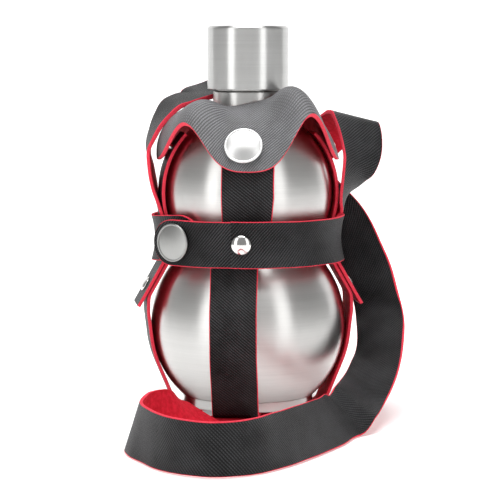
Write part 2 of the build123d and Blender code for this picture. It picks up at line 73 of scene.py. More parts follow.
# Steel flask
lower_radius = 53.0
upper_radius = 46.0
lower_z = 48.6
upper_z = 120.6
base_z = 4.1
foot_top = 9.7
foot_radius = 35.4
foot_seam = 36.0
foot_ring_width = 4.0
foot_hollow = 3.4
steel_wall = 0.7
waist_fillet = 6.0
neck_radius = 19.0
neck_wall = 1.5
seam_z = 162.9
cap_z = 176.0
mouth_top = 191.0
total_height = 210.2
cap_radius = 22.0
cap_wall = 0.8
seal_width = 3.4
thread_root = 17.4
thread_depth = 1.2
thread_pitch = 4.0
thread_start = 4.2
thread_turns = 2.0
thread_play = 0.35

# Harness
strap_width = 25.0
front_turn = -5.0
lower_shift = -3.1
upper_shift = 2.8
front_slip, front_growth = 1.2, 0.12
side_turn = 7.0
strap_top_angle = 42.0
strap_end_run = 0.25
waist_height = 95.0
waist_radius = 41.4
side_belly = (54.6, 56.0)
side_fall = (54.4, 64.5)
side_tuck = (43.4, 84.0)
small_bend = 3.0
wide_bend = 9.0
bridge_reach = 19.0
lap = 5.0
foot_corner = (foot_seam + small_bend, base_z - seat_gap)
waist = (waist_radius, waist_height)

# Belt
belt_width = 24.4
belt_height = 95.8
belt_flare = 1.9
belt_radius = 49.1
belt_seed = 4
belt_tuck = 14.0
belt_tuck_angle = -85.0
inner_end_angle = -34.0
inner_end_radius = 48.0
inner_end_tilt, inner_tilt_turn = 2.6, 40.0
run_per_degree = 0.86
flap_ease = 2.05
flap_reach = 50.0
flap_bend_turns = (-11.5, -19.0)
flap_grain_start = 999.0
belt_hinge_angle = -14.583
flap_start_angle = -10.0
flap_tip_angle, flap_tip_turn = -62.0, 14.5
flap_straight_angle = -37.0
belt_snap_angle = -48.0
belt_rivet_angle = -4.0
narrowest_tip = 0.04

# Collar
collar_steps = 220
collar_seed, edge_per_degree = 5.0, 1.7
hole_radius = 20.6
hole_height = 165.0
hole_rise = 8.5
collar_seat = 50.77
collar_edge_radius = 47.0
tab_tip_height = 134.0
side_tab_raise = 4.0
corner_raise = 27.0
corner_tilt = 3.5
corner_arch = 5.0
shoulder_swells = ((-74.0, 6.5), (72.0, 2.0))
back_calm_share = 0.55
collar_rim_share, collar_rim_drop = 0.99, 0.3
front_snap_angle = 30.5
upper_snap_turn = -3.0
back_turn = 178.0
collar_rivet_angle = 30.0

# Carrying strap
carry_width = 27.0
carry_trim = 0.3
carry_step = 2.2
plump_leather = 0.8
plump_from, plump_over = 78.0, 30.0
end_tip_height = 58.0
end_tip_flare = 3.6
end_rivet_place = 4.2

# Snaps: stand off the leather, radius and rise. Rivets: radius, stand, shank and rise.
collar_snap = (0.0, 10.2, 2.2)
belt_snap = (1.45, 10.2, 0.9)
belt_rivet = (5.2, 0.55, 9.0, 1.9)
end_rivet = (4.2, 0.0, 3.9, 1.5)
collar_rivet = (3.8, 0.35, 6.0, 0.9)
hidden_parts = ("_socket", "_stud", "_burr", "_burrs")


# Shader maths


class Wire:
    """A socket's output. Arithmetic on it adds Math nodes to the finish's tree."""

    def __init__(self, finish, socket):
        self.finish = finish
        self.socket = socket

    def maths(self, operation, *values):
        return self.finish.node("Math", {"operation": operation}, dict(enumerate(values)))

    def __add__(self, other):
        return self.maths("ADD", self, other)

    def __sub__(self, other):
        return self.maths("SUBTRACT", self, other)

    def __rsub__(self, other):
        return self.maths("SUBTRACT", other, self)

    def __mul__(self, other):
        return self.maths("MULTIPLY", self, other)

    def __pow__(self, other):
        return self.maths("POWER", self, other)

    def __abs__(self):
        return self.maths("ABSOLUTE", self)

    def sine(self):
        return self.maths("SINE", self)

    def least(self, other):
        return self.maths("MINIMUM", self, other)

    def step_up(self, low, high):
        """0 below low, 1 above high, and smooth in between."""
        made = {"Value": self, "From Min": low, "From Max": high}
        return self.finish.node("MapRange", {"interpolation_type": "SMOOTHSTEP"}, made)


class Finish:
    """A material in the making: a Principled shader and the nodes before it."""

    def __init__(self, name, **values):
        self.material = bpy.data.materials.new(name)
        self.material.use_nodes = True
        self.tree = self.material.node_tree
        self.tree.nodes.clear()
        self.shader = self.tree.nodes.new("ShaderNodeBsdfPrincipled")
        out = self.tree.nodes.new("ShaderNodeOutputMaterial")
        self.tree.links.new(self.shader.outputs[0], out.inputs["Surface"])
        for key, value in values.items():
            self.look(key.replace("_", " "), value)

    def give(self, node, key, value):
        socket = node.inputs[key]
        if isinstance(value, Wire):
            self.tree.links.new(value.socket, socket)
        else:
            socket.default_value = value

    def node(self, kind, settings=(), values=(), out=0):
        """Adds a node of a kind, with its settings first and then its sockets; returns an output."""
        made = self.tree.nodes.new("ShaderNode" + kind)
        for key, value in dict(settings).items():
            setattr(made, key, value)
        for key, value in dict(values).items():
            self.give(made, key, value)
        return Wire(self, made.outputs[out])

    def parts(self, vector):
        first = self.node("SeparateXYZ", {}, {"Vector": vector})
        outputs = first.socket.node.outputs
        return [Wire(self, outputs[k]) for k in range(3)]

    def joined(self, x, y, z):
        return self.node("CombineXYZ", {}, {"X": x, "Y": y, "Z": z})

    def noise(self, vector, scale, detail=2.0, rough=0.5):
        values = {"Vector": vector, "Scale": scale, "Detail": detail, "Roughness": rough}
        return self.node("TexNoise", {"noise_dimensions": "3D"}, values)

    def mixed(self, share, first, last):
        """Colour between two colours."""
        return self.node("Mix", {"data_type": "RGBA"}, {0: share, 6: first, 7: last}, 2)

    def look(self, key, value):
        self.give(self.shader, key, value)

    def coloured(self, share, tint, dim):
        """Base colour between a dimmed tint and the tint."""
        self.look("Base Color", self.mixed(share, rgb(*(c * dim for c in tint)), rgb(*tint)))

    def bumped(self, height, distance, strength=1.0):
        values = {"Height": height, "Distance": distance, "Strength": strength}
        self.look("Normal", self.node("Bump", {}, values))


def rgb(red, green, blue):
    return (red, green, blue, 1.0)


def grey(shade):
    return rgb(shade, shade, shade)


def cross_grain(f, along, across, flat):
    """Height of the black face's crossed creases with its pores, and of the pores alone."""
    drift = f.noise(flat, 0.10, 2.0) * 2.0
    fine = f.noise(flat, 0.9, 2.0) * 0.5
    run = cos(crease_lean) * pi / crease_pitch
    rise = sin(crease_lean) * pi / crease_pitch
    one = abs((along * run + across * rise + drift + fine).sine())
    other = abs((along * run - across * rise - drift + fine).sine())
    cells = (one ** 0.7).least((other ** 0.9) * 0.35 + 0.65)
    pores = f.noise(flat, 2.6, 3.0, 0.6)
    return cells * 0.8 + pores * 0.35, pores


def make_leather(name, deep_shade, ridge_highlight_tone, shine):
    """Black cross-grained face over a red lining, told apart by depth. Noise is per millimetre."""
    f = Finish(name, Sheen_Weight=0.01, Sheen_Roughness=0.45, Specular_IOR_Level=shine)
    f.look("Sheen Tint", rgb(1.0, 0.62, 0.64))
    along, across, depth = f.parts(f.node("Attribute", {"attribute_name": "hide"}, out=1))
    flat = f.joined(along, across, 0.0)
    ragged = f.noise(f.joined(along, across, depth * 0.5), 1.6, 3.0, 0.6)
    lined = (depth + (ragged - 0.5) * 0.25).step_up(*lining_depths)
    grain, pores = cross_grain(f, along, across, flat)
    cloud = f.noise(flat, 0.05, 3.0, 0.55)
    # Painted light: the grain's ridges, varied by a slow random cloud, get a lighter grey as a painted
    # highlight, and the creases keep the darker grey as painted shade.
    ridge_highlight_mask = (grain * (cloud * 0.7 + 0.5)).step_up(0.44, 0.90)
    black = f.mixed(ridge_highlight_mask, grey(deep_shade), rgb(ridge_highlight_tone, ridge_highlight_tone, ridge_highlight_tone * 1.06))
    fibres = f.noise(f.joined(along, across * 0.7, depth), 3.4, 4.0, 0.7)
    nap = f.noise(flat, 0.35, 3.0, 0.6)
    suede = f.mixed(nap.step_up(0.3, 0.7), *suede_reds)
    # The cut edges get the brighter reds: their own red with a painted highlight.
    rim = f.mixed(fibres.step_up(0.3, 0.75), *lit_edge_reds)
    red = f.mixed(depth.step_up(*suede_depths), rim, suede)
    f.look("Base Color", f.mixed(lined, black, red))
    dull = pores * 0.16 - grain * 0.06 + cloud * 0.10 + 0.36
    f.look("Roughness", dull * (1.0 - lined) + lined * 0.86)
    f.bumped(grain * (1.0 - lined) + fibres * lined * 0.8, 0.00035)
    return f.material


def make_steel(name, tint, shine, streak):
    """Steel that was brushed while it turned on its axis."""
    f = Finish(name, Metallic=1.0, Anisotropic=0.85, Anisotropic_Rotation=0.25, Specular_IOR_Level=0.5)
    x, y, z = f.parts(f.node("TexCoord", out=3))
    hair = f.noise(f.joined(x * 28.0, y * 28.0, z * 2600.0), 1.0, 4.0, 0.65)
    band = f.noise(f.joined(x * 9.0, y * 9.0, z * 420.0), 1.0, 2.0, 0.5)
    stain = f.noise(f.joined(x, y, z), 26.0, 3.0, 0.55)
    tone = hair * 0.6 + band * 0.4
    f.coloured(tone.step_up(0.25, 0.72), tint, 0.90)
    f.look("Roughness", (tone - 0.5) * streak + (stain - 0.5) * 0.06 + shine)
    f.bumped(hair, 0.00003, 0.35)
    return f.material


def make_nickel(name, tint, shine, brushed):
    """Plated snap and rivet metal, with its fine marks from polishing or brushing."""
    f = Finish(name, Metallic=1.0, Specular_IOR_Level=0.5)
    x, y, z = f.parts(f.node("TexCoord", out=3))
    marks = f.noise(f.joined(x * 4200.0, y * 260.0, z * 400.0), 1.0, 3.0, 0.6)
    smudge = f.noise(f.joined(x, y, z), 420.0, 3.0, 0.6)
    f.coloured(marks, tint, 0.86)
    f.look("Roughness", marks * brushed + smudge * 0.05 + shine)
    f.bumped(marks, 0.00002, 0.25)
    return f.material


def make_moulding(name, colour, shine):
    """Moulded liner or seal, with a faint moulded texture."""
    f = Finish(name, Specular_IOR_Level=0.45)
    place = f.node("TexCoord", out=3)
    grain = f.noise(place, 900.0, 3.0, 0.6)
    f.coloured(f.noise(place, 60.0, 2.0), colour, 0.9)
    f.look("Roughness", grain * 0.12 + shine)
    f.bumped(grain, 0.00003, 0.4)
    return f.material


def make_floor():
    """White paper that gives off a little light, and less of it close to the flask."""
    f = Finish("studio_paper", Roughness=0.9, Specular_IOR_Level=0.1, Emission_Strength=0.6)
    place = f.node("TexCoord", out=3)
    x, y, _ = f.parts(place)
    far = (x * x + y * y) ** 0.5
    f.look("Emission Color", f.mixed(far.step_up(0.12, 0.55), grey(0.45), grey(1.0)))
    f.look("Base Color", f.mixed(f.noise(place, 3.0, 2.0), grey(0.90), grey(0.92)))
    return f.material


hide_finish = make_leather("harness_leather", 0.001, 0.050, 0.14)
# Painted light: the collar's copy of the harness leather has lighter creases and ridges, a painted top light
# on its upward faces.
collar_top_lit_finish = make_leather("collar_leather_painted_top_light", 0.055, 0.200, 0.55)
flask_steel = make_steel("spun_steel", (0.62, 0.615, 0.60), 0.33, 0.08)
cap_steel = make_steel("cap_steel", (0.58, 0.58, 0.57), 0.30, 0.08)
bright_nickel = make_nickel("bright_nickel", (0.84, 0.83, 0.81), 0.10, 0.03)
satin_nickel = make_nickel("satin_nickel", (0.90, 0.90, 0.89), 0.34, 0.06)
brushed_nickel = make_nickel("brushed_nickel", (0.38, 0.38, 0.37), 0.26, 0.12)
liner_finish = make_moulding("cap_liner_plastic", (0.80, 0.80, 0.78), 0.38)
seal_finish = make_moulding("seal_silicone", (0.72, 0.72, 0.70), 0.52)
floor_finish = make_floor()


# Meshes


def placed(name, data):
    """A new object in the scene."""
    made = bpy.data.objects.new(name, data)
    bpy.context.scene.collection.objects.link(made)
    return made


def clamped(value):
    return min(1.0, max(0.0, value))


def new_piece(name, points, faces, finish, crease=40.0):
    """Object from points in metres; edges bent by more than the crease stay sharp."""
    mesh = bpy.data.meshes.new(name)
    mesh.from_pydata([tuple(p) for p in points], [], faces)
    mesh.validate()
    mesh.shade_smooth()
    mesh.set_sharp_from_angle(angle=radians(crease))
    mesh.materials.append(finish)
    return placed(name, mesh)


def swept(name, rings, finish, loop=False, crease=40.0):
    """Piece from rings of points in millimetres, joined into a loop or closed at both ends."""
    count, around = len(rings), len(rings[0])
    points = [Vector(p) * MM for ring in rings for p in ring]
    faces = []
    for i in range(count if loop else count - 1):
        n = (i + 1) % count
        for k in range(around):
            j = (k + 1) % around
            faces.append((i * around + k, i * around + j, n * around + j, n * around + k))
    if not loop:
        faces.append(tuple(range(around)))
        faces.append(tuple(reversed(range((count - 1) * around, count * around))))
    piece = new_piece(name, points, faces, finish, crease)
    outward(piece)
    return piece


def skin(name, rings, hides, loop=False):
    """Leather piece from rings of points; hides has each point's place in the leather."""
    piece = swept(name, rings, hide_finish, loop)
    held = piece.data.attributes.new("hide", "FLOAT_VECTOR", "POINT")
    held.data.foreach_set("vector", np.array(hides, np.float32).ravel())
    return piece


def outward(piece):
    """Turns the faces so that the mesh encloses a positive volume."""
    mesh = piece.data
    volume = 0.0
    for polygon in mesh.polygons:
        corners = [mesh.vertices[v].co for v in polygon.vertices]
        for k in range(1, len(corners) - 1):
            volume += corners[0].dot(corners[k].cross(corners[k + 1]))
    if volume < 0:
        mesh.flip_normals()


def turned(name, outline, finish, steps=160, place=None):
    """Piece turned on a lathe from a closed outline of radius and height, in millimetres."""
    points, faces, rows = [], [], []
    for radius, height in outline:
        if radius < 1e-6:
            rows.append([len(points)] * steps)
            points.append(Vector((0, 0, height)) * MM)
            continue
        rows.append([len(points) + k for k in range(steps)])
        for k in range(steps):
            a = 2 * pi * k / steps
            points.append(Vector((radius * cos(a), radius * sin(a), height)) * MM)
    closed = outline[0][0] > 1e-6 or outline[-1][0] > 1e-6
    pairs = list(zip(rows, rows[1:])) + ([(rows[-1], rows[0])] if closed else [])
    for low, high in pairs:
        for k in range(steps):
            j = (k + 1) % steps
            face = [low[k], low[j], high[j], high[k]]
            face = [v for n, v in enumerate(face) if v not in face[:n]]
            if len(face) > 2:
                faces.append(face)
    piece = new_piece(name, points, faces, finish, 35.0)
    outward(piece)
    if place is not None:
        piece.matrix_world = place
    return piece


def arc(centre, radius, first, last, steps):
    """Points of radius and height along an arc between two angles in degrees."""
    made = []
    for k in range(steps + 1):
        a = radians(first + (last - first) * k / steps)
        made.append((centre[0] + radius * cos(a), centre[1] + radius * sin(a)))
    return made


def neighbours(points, k):
    """The points before and after one of a line's points; at an end, the point itself."""
    return points[max(k - 1, 0)], points[min(k + 1, len(points) - 1)]


def on_body(piece, body, slot, *nodes):
    """Lets a piece ride on a body, in place of the nodes; the slot is not used."""
    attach(piece, body)
    if nodes:
        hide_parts(*nodes)


# Steel flask


def waist_circle():
    """Centre of the fillet between the bulbs, as radius and height."""
    low, high, far = lower_radius + waist_fillet, upper_radius + waist_fillet, upper_z - lower_z
    rise = (far**2 + low**2 - high**2) / (2 * far)
    reach = sqrt(low**2 - rise**2)
    return (reach, lower_z + rise)


def bulb_outline(centre, sphere, seam):
    """Outer line of a bulb from its seam to the middle of the waist, as radius and height."""
    start = degrees(asin((seam - centre) / sphere))
    hub = waist_circle()
    touching = degrees(atan2(hub[1] - centre, hub[0]))
    bulge = arc((0, centre), sphere, start, touching, 72)
    return bulge + arc(hub, waist_fillet, touching + 180.0, 180.0, 10)[1:]


def walled(outer):
    """Closed outline with the steel's thickness inside the outer line."""
    inner = []
    for k, (r, z) in enumerate(outer):
        before, after = neighbours(outer, k)
        run = Vector((after[0] - before[0], after[1] - before[1])).normalized()
        side = Vector((-run.y, run.x))
        if side.x > 0:
            side = -side
        inner.append((r + side.x * steel_wall, z + side.y * steel_wall))
    return outer + inner[::-1]


def make_flask():
    lower = bulb_outline(lower_z, lower_radius, foot_top)
    upper = bulb_outline(upper_z, upper_radius, seam_z)
    on_body(turned("lower_bulb_spinning", walled(lower), flask_steel), FLASK, "steel", "lower_bulb")
    on_body(turned("upper_bulb_spinning", walled(upper), flask_steel), FLASK, "steel", "upper_bulb")
    inside = foot_radius - foot_ring_width
    floor = base_z + foot_hollow
    foot = [(0, floor), (inside - 1, floor)]
    foot += arc((inside - 1, floor - 1), 1.0, 90, 0, 4)[1:]
    foot += [(inside, base_z + 0.6), (inside + 0.5, base_z)]
    foot += arc((foot_radius - 0.9, base_z + 0.9), 0.9, 270, 360, 5)
    foot += arc((foot_radius - 0.5, foot_top - 0.5), 0.5, 0, 90, 4)
    foot += [(foot_radius - 2.0, foot_top - 0.2), (foot_radius - 2.4, floor + 0.7), (0, floor + 0.7)]
    on_body(turned("foot_ring_pressing", foot, flask_steel), FLASK, "steel", "foot_pan")


def ridge(name, root, sign, low, foot, tip, finish):
    """Screw thread: a ridge that winds round a wall and runs out at both ends."""
    steps = int(72 * thread_turns)
    rings = []
    for k in range(steps + 1):
        share = k / steps
        a = 2 * pi * thread_turns * share
        runout = min(1.0, 9 * share, 9 * (1 - share))
        far = root + sign * thread_depth * runout
        near = root - sign * 0.1
        middle = low + thread_pitch * thread_turns * share
        corners = [(near, -foot / 2), (far, -tip / 2), (far, tip / 2), (near, foot / 2)]
        rings.append([(r * cos(a), r * sin(a), middle + z) for r, z in corners])
    return swept(name, rings, finish, crease=30.0)


def make_neck():
    bore = thread_root - neck_wall
    line = [(bore, seam_z), (neck_radius + 2.2, seam_z - 1.2)]
    line += arc((neck_radius + 2.6, seam_z + 2.0), 2.6, 255, 180, 6)
    line += arc((neck_radius - 0.8, cap_z - 1.8), 0.8, 0, 70, 5)
    line += [(thread_root, cap_z - 0.6), (thread_root, mouth_top - 0.6)]
    line += arc((thread_root - 0.6, mouth_top - 0.6), 0.6, 0, 90, 4)
    line += arc((bore + 0.5, mouth_top - 0.5), 0.5, 90, 180, 4)
    on_body(turned("neck_turning", line, flask_steel), FLASK, "steel", "neck_finish")
    thread = ridge("neck_thread", thread_root, 1, cap_z + thread_start, 1.9, 0.8, flask_steel)
    on_body(thread, FLASK, "steel")


def make_cap():
    inner = cap_radius - cap_wall
    line = [(0, total_height - 0.25), (cap_radius - 6, total_height - 0.22)]
    line.append((cap_radius - 3.2, total_height - 0.1))
    line += arc((cap_radius - 1.9, total_height - 1.9), 1.9, 84, 0, 10)
    line += [(cap_radius, cap_z + 0.5)]
    line += arc((cap_radius - 0.35, cap_z + 0.35), 0.35, 0, -90, 4)
    line += [(inner, cap_z + 0.1), (inner, total_height - 2.2)]
    line += arc((inner - 1.2, total_height - cap_wall - 1.2), 1.2, 0, 90, 5)
    line += [(0, total_height - cap_wall)]
    on_body(turned("cap_spinning", line, cap_steel), "cap_turning", "steel", "cap_shell")
    make_liner(inner - 0.05, thread_root + thread_depth + thread_play)
    make_seal(thread_root + thread_depth, mouth_top + 0.05)


def make_liner(wide, thin):
    """Plastic lining between the cap's wall and the neck's thread, with a thread of its own."""
    ceiling = mouth_top + 2.1
    liner = [(0, ceiling), (thin - 0.6, ceiling)] + arc((thin - 0.6, ceiling - 0.6), 0.6, 90, 0, 4)
    liner += [(thin, cap_z + 1.2), (thin + 0.5, cap_z + 0.6), (wide - 0.3, cap_z + 0.6)]
    liner += [(wide, cap_z + 0.9), (wide, ceiling + 3.0), (0, ceiling + 3.0)]
    on_body(turned("cap_liner_moulding", liner, liner_finish), "cap_turning", "liner", "cap_liner")
    low = cap_z + thread_start + thread_pitch / 2
    inside = ridge("cap_liner_thread", thin, -1, low, 1.75, 0.8, liner_finish)
    on_body(inside, "cap_turning", "liner")


def make_seal(outer, seat):
    """Ring between the mouth and the liner's ceiling."""
    near, far = outer - 0.5, outer - seal_width + 0.5
    seal = arc((near, seat + 0.5), 0.5, -90, 0, 4) + arc((near, seat + 1.5), 0.5, 0, 90, 4)
    seal += arc((far, seat + 1.5), 0.5, 90, 180, 4) + arc((far, seat + 0.5), 0.5, 180, 270, 4)
    on_body(turned("seal_ring", seal, seal_finish), "cap_lifting", "seal", "cap_seal")


# Straps. A path runs along a strap's inner face, in radius and height.


def rounded(points, radii, step=1.6):
    """Points close together along straight runs whose corners are rounded."""
    corners = [Vector(p) for p in points]
    line = [corners[0]]
    for before, here, after, radius in zip(corners, corners[1:], corners[2:], radii):
        first, last = (here - before).normalized(), (after - here).normalized()
        bend = first.angle(last)
        if bend < 1e-4:
            line.append(here)
            continue
        cut = radius * tan(bend / 2)
        start, end = here - first * cut, here + last * cut
        hub = here + (last - first).normalized() * (radius / cos(bend / 2))
        count = max(3, int(degrees(bend) / 4), int(radius * bend / step))
        left, right = start - hub, end - hub
        for k in range(count + 1):
            share = k / count
            spoke = left * sin((1 - share) * bend) + right * sin(share * bend)
            line.append(hub + spoke / sin(bend))
    line.append(corners[-1])
    dense = [line[0]]
    for before, after in zip(line, line[1:]):
        count = max(1, int((after - before).length / (2 * step)))
        dense += [before.lerp(after, (k + 1) / count) for k in range(count)]
    return [p for k, p in enumerate(dense) if k == 0 or (p - dense[k - 1]).length > 1e-3]


def touch(point, centre_z, radius, side):
    """Angle on a bulb where a straight run from the point touches it."""
    bearing = degrees(atan2(point[1] - centre_z, point[0]))
    far = hypot(point[0], point[1] - centre_z)
    return bearing + side * degrees(acos(min(1.0, radius / far)))


def meet(centre_z, radius, first, last):
    """Where the tangents of a bulb at two angles meet."""
    reach = radius / cos(radians((last - first) / 2))
    middle = radians((first + last) / 2)
    return (reach * cos(middle), centre_z + reach * sin(middle))


def top_run(start):
    """The corner over the upper bulb and the end under the collar, and the bulb's radius."""
    radius = upper_radius + seat_gap
    turn = meet(upper_z, radius, touch(start, upper_z, radius, 1), strap_top_angle)
    a = radians(strap_top_angle)
    end = (radius * cos(a), upper_z + radius * sin(a))
    return [turn, (end[0] - strap_end_run * sin(a), end[1] + strap_end_run * cos(a))], [radius]


def lower_turn(upper):
    """The corner over the lower bulb between the foot and an upper point, and the bulb's radius."""
    radius = lower_radius + seat_gap
    low, high = touch(foot_corner, lower_z, radius, 1), touch(upper, lower_z, radius, -1)
    return meet(lower_z, radius, low, high), radius


def beside(points, distance):
    """The path moved outward by a distance, corner by corner, without its two end points."""
    moved = []
    for before, here, after in zip(points, points[1:], points[2:]):
        first = Vector((here[0] - before[0], here[1] - before[1])).normalized()
        last = Vector((after[0] - here[0], after[1] - here[1])).normalized()
        middle = (first + last).normalized()
        reach = distance / middle.dot(first)
        moved.append((here[0] + middle.y * reach, here[1] - middle.x * reach))
    return moved


def mirrored(points):
    return [(-x, z) for x, z in points[::-1]]


def section(width, wide_steps=12):
    """(across, depth) round a strap's section: over the black face, round the edge and back."""
    soft, side, low = edge_round, width / 2 - edge_round, leather - edge_round
    spread = [-side, *np.linspace(rim_width - side, side - rim_width, wide_steps + 1), side]
    made = [(a, 0.0) for a in spread]
    made += arc((side, soft), soft, -60, 0, 2) + arc((side, low), soft, 0, 90, 3)
    made += [(a, leather) for a in spread[-2::-1]]
    return made + arc((-side, low), soft, 120, 180, 2) + arc((-side, soft), soft, 180, 240, 2)


def wander(place, seed, size):
    """Small smooth variation along a strap, as of leather cut by hand."""
    slow = sin(place * 0.031 + seed) + 0.6 * sin(place * 0.083 + 2.1 * seed)
    return size * (slow + 0.4 * sin(place * 0.23 + 3.3 * seed)) / 2


def seen_depth(across, depth, half):
    """Depth in the leather, where the narrow strip along a cut edge shows as the edge."""
    return max(depth, rim_depth) if abs(across) > half - rim_reach else depth


def ribbon(name, stations, width, seed, bulk=None):
    """Strap along stations of inner point, outward direction and across direction."""
    round_it = section(width)
    rings, hides, place = [], [], 0.0
    for k, (point, out, across) in enumerate(stations):
        if k:
            place += (point - stations[k - 1][0]).length
        plump = 0.0 if bulk is None else bulk[k]
        drift = wander(place, seed, path_drift)
        ring, hide = [], []
        for a, depth in round_it:
            out_by = leather - depth + plump * (0.5 - depth / leather)
            wavy = a + drift + wander(place + a, seed + a / width, width_drift)
            ring.append(point + out * out_by + across * wavy)
            hide.append((place + hide_spacing * seed, a, seen_depth(a, depth, width / 2)))
        rings.append(ring)
        hides.append(hide)
    return skin(name, rings, hides), place


def upright(path, radii, turn, shift):
    """Stations of a strap that lies in an upright plane turned about the axis."""
    line = rounded(path, radii)
    a = radians(turn)
    flat, across = Vector((cos(a), sin(a), 0)), Vector((-sin(a), cos(a), 0))
    made = []
    for k, p in enumerate(line):
        before, after = neighbours(line, k)
        run = (after - before).normalized()
        out = flat * run.y + Vector((0, 0, -run.x))
        made.append((flat * p.x + Vector((0, 0, p.y)) + across * shift, out, across))
    return made


def strapped(name, stations, seed, node):
    """Harness strap of the flask, cut from a flat strip."""
    piece, length = ribbon(name, stations, strap_width, seed)
    on_body(piece, FLASK, "leather", node)
    length * MM


def make_side_strap():
    """The strap under the foot that climbs both sides, bridging the strap that crosses under it."""
    turn, bulb = lower_turn(side_belly)
    top, top_radii = top_run(waist)
    bridge = [(bridge_reach, foot_corner[1] + layer), (bridge_reach + layer, foot_corner[1])]
    half = [*bridge, foot_corner, turn, side_belly, side_fall, side_tuck, waist, *top]
    radii = [leather / 2, leather, small_bend, bulb, *[wide_bend] * 4, *top_radii]
    stations = upright(mirrored(half) + half, radii[::-1] + radii, side_turn, 0)
    strapped("side_harness_strap", stations, 1, "side_strap")


def make_long_strap():
    """The strap under the foot that climbs the back to the collar and the front to the waist."""
    turn, bulb = lower_turn(waist)
    top, top_radii = top_run(waist)
    front = [foot_corner, turn, waist, (waist_radius, waist_height + lap)]
    back = [foot_corner, turn, waist, *top]
    bends = [small_bend, bulb, wide_bend]
    radii = (bends + top_radii)[::-1] + bends
    stations = upright(mirrored(back) + front, radii, front_turn - 90, lower_shift)
    strapped("long_harness_strap", stations, 2, "long_strap")


def make_front_strap():
    """The strap that laps over the long strap's front end and climbs to the collar, widening."""
    turn, _ = lower_turn(waist)
    down = Vector((turn[0] - waist[0], turn[1] - waist[1])).normalized() * lap
    start = (waist[0] + down.x, waist[1] + down.y)
    past = (start[0] + down.x, start[1] + down.y)
    above = (waist_radius, waist_height + lap)
    first, bend = beside([past, start, waist, above], layer + free_play)
    top, top_radii = top_run(bend)
    line = upright([first, bend, *top], [wide_bend, *top_radii], front_turn - 90, upper_shift)
    stations = []
    for point, out, across in line:
        rise = clamped((point.z - belt_height) / belt_width)
        stations.append((point + across * front_slip * rise, out, across * (1 + front_growth * rise)))
    strapped("front_harness_strap", stations, 3, "front_strap")


# Belt


def belt_ring(turn, radius, share, tilt, place):
    """Ring of the belt's section at a turn from the front, with its edges flared outward."""
    half = belt_width / 2
    ring, hide = [], []
    for across, depth in section(belt_width):
        z = across * share
        flare = belt_flare * (z / half) ** 2
        wavy = z + wander(place + across, belt_seed, cut_drift)
        reach = radius + flare + leather - depth
        ring.append(round_belt(turn, reach, belt_height + tilt + wavy)[0])
        hide.append((place + hide_spacing * belt_seed, z, seen_depth(across, depth, half)))
    return ring, hide


def tip_share(distance, half):
    """How wide a rounded tip is at a distance from its end, as a share of the whole."""
    if distance >= half:
        return 1.0
    return max(narrowest_tip, sqrt(half**2 - (half - distance) ** 2) / half)


def belt_piece(name, turns, radii, shares, tilts, start=0.0):
    """Stretch of belt through turns with their radii, widths and tilts, and its length."""
    rings, hides, place = [], [], start
    for k, turn in enumerate(turns):
        if k:
            place += abs(radians(turn - turns[k - 1])) * radii[k]
        ring, hide = belt_ring(turn, radii[k], shares[k], tilts[k], place)
        rings.append(ring)
        hides.append(hide)
    return skin(name, rings, hides), place - start


def tuck_radius(turn):
    """Distance from the axis of the belt's inner end, which runs in under the flap."""
    return belt_radius - belt_tuck * (1 - cos(radians(turn - belt_tuck_angle)))


def flap_radius(turn):
    """Distance of the flap from the axis; past one angle it leaves the round and runs straight."""
    bent = max(turn, flap_straight_angle)
    near = belt_radius + flap_ease * max(0.0, sin(radians(belt_hinge_angle - bent)))
    return near / cos(radians(bent - turn))


def round_belt(turn, distance, height):
    """Point at a turn from the front, and the direction outward there."""
    out = Vector((sin(radians(turn)), -cos(radians(turn)), 0))
    return out * distance + Vector((0, 0, height)), out


def make_belt():
    """The belt from its inner end, hidden under the flap, round to where the flap starts."""
    half = belt_width / 2
    turns = [inner_end_angle - t for t in half * (1 - np.cos(np.linspace(0, 1.5, 10))) / run_per_degree]
    turns += list(np.arange(turns[-1] - 2.0, belt_tuck_angle, -2.0))
    radii = [tuck_radius(t) for t in turns]
    past_end = [(inner_end_angle - t) * radians(1) * inner_end_radius for t in turns]
    shares = [tip_share(distance + 0.2, half) for distance in past_end]
    tilts = [inner_end_tilt * clamped((t - belt_tuck_angle) / inner_tilt_turn) for t in turns]
    last = flap_start_angle - 360.0
    rest = list(np.arange(belt_tuck_angle, last, -2.5)) + [last]
    turns, radii = turns + rest, radii + [belt_radius] * len(rest)
    shares, tilts = shares + [1.0] * len(rest), tilts + [0.0] * len(rest)
    belt, length = belt_piece("belt_leather", turns, radii, shares, tilts)
    on_body(belt, FLASK, "leather", "belt")
    length * MM


def make_belt_flap():
    """The belt's outer end with its round tip; on the flask it bends open behind the rivet, but this piece
    is made shut.
    """
    turns = list(np.arange(flap_start_angle, flap_tip_angle + flap_tip_turn, -1.5))
    reach = turns[-1] - flap_tip_angle
    turns += [flap_tip_angle + reach * (1 - sin(t)) for t in np.linspace(0, pi / 2, 14)[1:]]
    radii = [flap_radius(t) for t in turns]
    past_end = [(t - flap_tip_angle) * radians(1) * flap_reach for t in turns]
    shares = [tip_share(distance + 0.05, belt_width / 2) for distance in past_end]
    level = [0.0] * len(turns)
    flap, length = belt_piece("belt_flap_leather", turns, radii, shares, level, flap_grain_start)
    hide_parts("belt_flap")
    ends = [round_belt(t, flap_reach, belt_height)[0] for t in flap_bend_turns]
    ends[0] * MM
    ends[1] * MM
    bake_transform(flap)
    length * MM


# Collar


def shoulder_swell(across, share):
    """How far the collar stands off its seat over the two shoulders."""
    swell = 0.0
    for middle, rise in shoulder_swells:
        near = max(0.0, cos(across - radians(middle))) ** 6
        swell += rise * near * 4 * share * (1 - share)
    return swell


